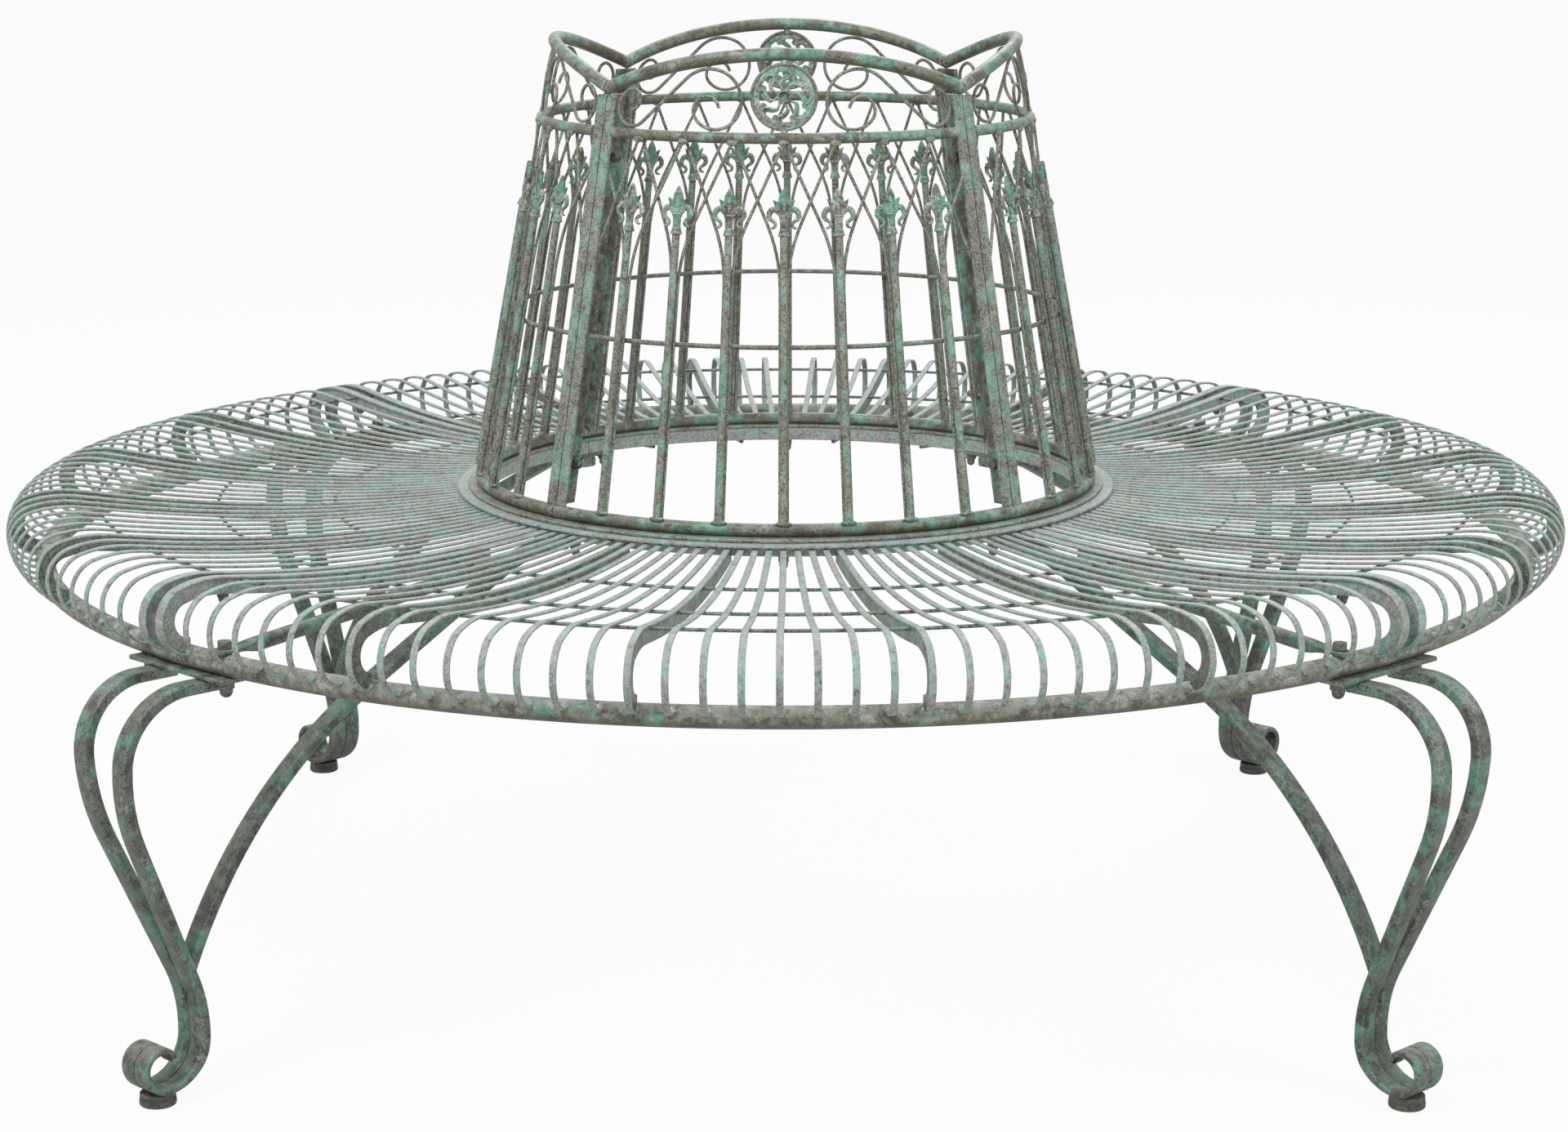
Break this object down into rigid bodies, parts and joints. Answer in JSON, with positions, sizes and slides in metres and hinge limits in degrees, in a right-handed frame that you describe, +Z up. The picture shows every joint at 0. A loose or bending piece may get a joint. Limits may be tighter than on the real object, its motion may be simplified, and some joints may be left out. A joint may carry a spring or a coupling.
{
  "type": "tree bench",
  "caption": "Round four-legged metal tree bench: slatted dished ring seat, tapered openwork back with arched tops, scrolled bar legs and an open centre for the trunk.",
  "frame": {"origin": "middle of the trunk opening, at the level of the ground under the foot pads", "axes": "+Z up; -Y towards the front quarter, whose middle faces the viewer; +X to the viewer's right"},
  "size_m": [1.494, 1.494, 0.8783],
  "materials": {
    "seat_paint": "weathered pale green paint, matt",
    "cage_paint": "weathered grey-green paint over brown, matt",
    "frame_paint": "weathered dark green paint, matt",
    "cast_ornament": "verdigris green paint with pale worn edges",
    "foot_metal": "dark brown, rusty",
    "fastener_metal": "dull brown-green, worn"
  },
  "bodies": {
    "root": {"seat_rim_front": "seat_paint", "seat_rim_right": "seat_paint", "seat_rim_back": "seat_paint", "seat_rim_left": "seat_paint", "seat_ring_front": "seat_paint", "seat_ring_right": "seat_paint", "seat_ring_back": "seat_paint", "seat_ring_left": "seat_paint", "seat_slats_front": "seat_paint", "seat_slats_right": "seat_paint", "seat_slats_back": "seat_paint", "seat_slats_left": "seat_paint", "seat_ribs_front": "frame_paint", "seat_ribs_right": "frame_paint", "seat_ribs_back": "frame_paint", "seat_ribs_left": "frame_paint", "seat_end_ribs_front": "seat_paint", "seat_end_ribs_right": "seat_paint", "seat_end_ribs_back": "seat_paint", "seat_end_ribs_left": "seat_paint", "back_posts_front": "cage_paint", "back_posts_right": "cage_paint", "back_posts_back": "cage_paint", "back_posts_left": "cage_paint", "back_rails_front": "cage_paint", "back_rails_right": "cage_paint", "back_rails_back": "cage_paint", "back_rails_left": "cage_paint", "back_uprights_front": "cage_paint", "back_uprights_right": "cage_paint", "back_uprights_back": "cage_paint", "back_uprights_left": "cage_paint", "back_lattice_front": "cage_paint", "back_lattice_right": "cage_paint", "back_lattice_back": "cage_paint", "back_lattice_left": "cage_paint", "back_scrolls_front": "cage_paint", "back_scrolls_right": "cage_paint", "back_scrolls_back": "cage_paint", "back_scrolls_left": "cage_paint", "back_finials_front": "cast_ornament", "back_finials_right": "cast_ornament", "back_finials_back": "cast_ornament", "back_finials_left": "cast_ornament", "leg_front_right": "frame_paint", "leg_back_right": "frame_paint", "leg_back_left": "frame_paint", "leg_front_left": "frame_paint", "seat_hoops": "frame_paint", "back_hoops": "cage_paint", "rosettes": "cast_ornament", "leg_braces": "frame_paint", "seat_ties": "frame_paint", "leg_plates": "frame_paint", "ring_plates": "frame_paint", "foot_pads": "foot_metal", "seat_tabs": "frame_paint", "bolts": "fastener_metal", "nuts": "fastener_metal"}
  },
  "joints": []
}
